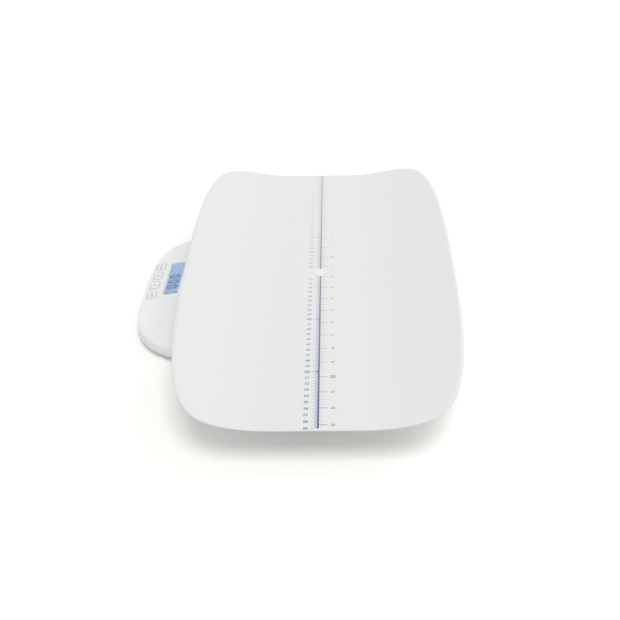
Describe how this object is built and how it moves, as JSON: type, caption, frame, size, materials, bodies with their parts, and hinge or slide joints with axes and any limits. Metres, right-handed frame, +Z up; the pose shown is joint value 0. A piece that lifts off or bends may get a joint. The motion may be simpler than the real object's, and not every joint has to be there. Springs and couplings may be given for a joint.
{
  "type": "digital baby weighing scale",
  "caption": "Low digital scale for babies: a wide moulded trough tray that lifts off a domed base with a display and press keys at its front edge.",
  "frame": {"origin": "middle of the whole footprint, on the floor the feet stand on", "axes": "+X along the tray's length, -Y towards the person who reads the display, +Z up"},
  "size_m": [0.598, 0.3908, 0.069],
  "materials": {
    "tray_white": "satin moulded white",
    "housing_white": "satin moulded white",
    "key_white": "satin white with a grey-blue outline",
    "window_clear": "clear moulded window",
    "lcd_blue": "light blue display",
    "backlight_white": "milky diffuser",
    "board_green": "solder mask",
    "switch_black": "matte",
    "rubber_grey": "matte rubber",
    "screw_steel": "zinc plated",
    "cell_steel": "stamped alloy steel",
    "contact_steel": "nickel plated",
    "battery_sleeve": "printed sleeve, plain",
    "lead_grey": "soft vinyl"
  },
  "bodies": {
    "base": {"upper_housing": "housing_white", "lower_housing": "housing_white", "foot_left_front": "housing_white", "foot_left_back": "housing_white", "foot_right_front": "housing_white", "foot_right_back": "housing_white", "housing_screw_1": "screw_steel", "housing_screw_2": "screw_steel", "housing_screw_3": "screw_steel", "housing_screw_4": "screw_steel", "housing_screw_5": "screw_steel", "housing_screw_6": "screw_steel", "board_screw_1": "screw_steel", "board_screw_2": "screw_steel", "tray_seat_pad_1": "rubber_grey", "tray_seat_pad_2": "rubber_grey", "tray_seat_pad_3": "rubber_grey", "tray_seat_pad_4": "rubber_grey", "foot_pad_left_front": "rubber_grey", "foot_pad_left_back": "rubber_grey", "foot_pad_right_front": "rubber_grey", "foot_pad_right_back": "rubber_grey", "display_window": "window_clear", "lcd_panel": "lcd_blue", "lcd_backlight": "backlight_white", "lead_connector": "backlight_white", "main_board": "board_green", "power_switch": "switch_black", "tare_switch": "switch_black", "hold_switch": "switch_black", "unit_switch": "switch_black", "load_cell_left_front": "cell_steel", "load_cell_left_back": "cell_steel", "load_cell_right_front": "cell_steel", "load_cell_right_back": "cell_steel", "battery_1": "battery_sleeve", "battery_2": "battery_sleeve", "battery_3": "battery_sleeve", "battery_4": "battery_sleeve", "battery_contact_left": "contact_steel", "battery_contact_right": "contact_steel", "load_cell_lead_1": "lead_grey", "load_cell_lead_2": "lead_grey", "load_cell_lead_3": "lead_grey", "load_cell_lead_4": "lead_grey", "battery_lead": "lead_grey"},
    "tray": {"tray": "tray_white", "tray_hub": "tray_white", "tray_hub_screw": "screw_steel", "tray_screw_cap": "tray_white"},
    "battery_door": {"battery_door": "housing_white"},
    "power_key": {"power_key": "key_white", "power_plunger": "switch_black"},
    "tare_key": {"tare_key": "key_white", "tare_plunger": "switch_black"},
    "hold_key": {"hold_key": "key_white", "hold_plunger": "switch_black"},
    "unit_key": {"unit_key": "key_white", "unit_plunger": "switch_black"}
  },
  "joints": [
    {"name": "tray_lift", "type": "slide", "parent": "base", "child": "tray", "axis": [0, 0, 1], "range_m": [0, 0.06]},
    {"name": "battery_door_slide", "type": "slide", "parent": "base", "child": "battery_door", "axis": [1, 0, 0], "range_m": [0, 0.06]},
    {"name": "power_press", "type": "slide", "parent": "base", "child": "power_key", "axis": [0, 0, -1], "range_m": [0, 0.0008], "stiffness_N_per_m": 800, "springref_m": -0.0005},
    {"name": "tare_press", "type": "slide", "parent": "base", "child": "tare_key", "axis": [0, 0, -1], "range_m": [0, 0.0008], "stiffness_N_per_m": 800, "springref_m": -0.0005},
    {"name": "hold_press", "type": "slide", "parent": "base", "child": "hold_key", "axis": [0, 0, -1], "range_m": [0, 0.0008], "stiffness_N_per_m": 800, "springref_m": -0.0005},
    {"name": "unit_press", "type": "slide", "parent": "base", "child": "unit_key", "axis": [0, 0, -1], "range_m": [0, 0.0008], "stiffness_N_per_m": 800, "springref_m": -0.0005}
  ]
}
